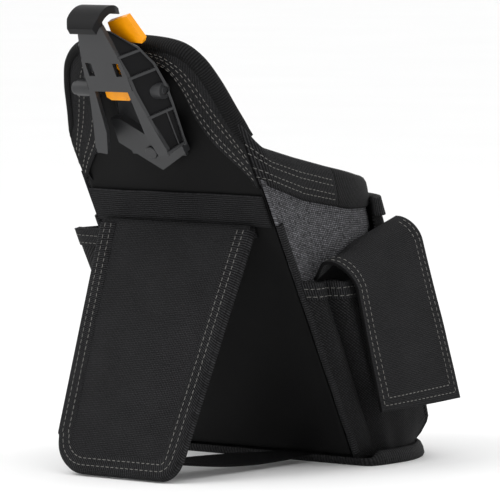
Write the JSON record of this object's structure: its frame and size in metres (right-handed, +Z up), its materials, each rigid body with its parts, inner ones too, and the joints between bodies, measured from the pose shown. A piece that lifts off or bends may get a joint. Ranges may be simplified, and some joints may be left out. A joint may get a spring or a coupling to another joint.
{
  "type": "electrician tool pouch",
  "caption": "Belt tool pouch with a leaning fabric body, open main compartment, flap pocket, side and front pockets, belt clip and fold-out kickstand.",
  "frame": {"origin": "centre of the flat base, on the floor", "axes": "+Z up, the front of the pouch faces -Y and its back panel with the clip faces +Y; the body leans back on the open kickstand"},
  "size_m": [0.2014, 0.2933, 0.2887],
  "materials": {
    "panel_fabric": "smooth coated black fabric",
    "woven_fabric": "coarse black basket weave",
    "heather_fabric": "heather grey coarse weave",
    "binding_tape": "ribbed black grosgrain",
    "webbing": "black webbing",
    "lining_fabric": "plain grey-black nylon",
    "hook_tape": "hook tape",
    "stiffener_board": "polyethylene sheet",
    "clip_plastic": "fine grained grey nylon",
    "cap_plastic": "fine grained dark grey nylon",
    "orange_plastic": "satin amber orange",
    "steel": "satin steel"
  },
  "bodies": {
    "pouch": {"base_panel": "woven_fabric", "base_binding": "binding_tape", "body_shell": "heather_fabric", "inner_lining": "lining_fabric", "rim_collar": "woven_fabric", "back_panel": "panel_fabric", "back_stiffener": "stiffener_board", "back_lining": "lining_fabric", "tongue_binding": "binding_tape", "tongue_border": "binding_tape", "waist_band": "webbing", "hinge_tape": "webbing", "side_piping_left": "binding_tape", "side_piping_right": "binding_tape", "right_side_pocket": "woven_fabric", "left_side_pocket": "woven_fabric", "front_pocket": "woven_fabric", "divider_panel": "lining_fabric", "tool_loops": "webbing", "stay_strap": "webbing", "clip_base": "clip_plastic", "clip_backing_plate": "clip_plastic", "clip_rivets": "steel", "pivot_pin": "steel", "torsion_spring": "steel"},
    "kickstand": {"kickstand_board": "stiffener_board", "kickstand_back_skin": "woven_fabric", "kickstand_front_skin": "lining_fabric", "kickstand_binding": "binding_tape"},
    "flap": {"pocket_flap": "woven_fabric", "flap_hook_tape": "hook_tape"},
    "clip_lever": {"clip_lever": "clip_plastic", "thumb_cap": "cap_plastic", "latch_pin": "steel", "latch_spring": "steel"},
    "release_latch": {"release_latch": "orange_plastic"}
  },
  "joints": [
    {"name": "kickstand_hinge", "type": "hinge", "parent": "pouch", "child": "kickstand", "pos_m": [0.003, 0.13916, 0.15053], "axis": [1, 0, 0], "range_deg": [-50, 0], "deforming": ["stay_strap"]},
    {"name": "flap_hinge", "type": "hinge", "parent": "pouch", "child": "flap", "pos_m": [-0.075, 0.0885, 0.1327], "axis": [0, 0.9583, -0.2857], "range_deg": [0, 90]},
    {"name": "clip_lever_pivot", "type": "hinge", "parent": "pouch", "child": "clip_lever", "pos_m": [0, 0.19375, 0.23703], "axis": [1, 0, 0], "range_deg": [0, 12], "stiffness_Nm_per_rad": 0.4, "springref_deg": -20.05},
    {"name": "latch_pivot", "type": "hinge", "parent": "clip_lever", "child": "release_latch", "pos_m": [0, 0.208, 0.2521], "axis": [1, 0, 0], "range_deg": [0, 6], "stiffness_Nm_per_rad": 0.02, "springref_deg": -17.19}
  ]
}
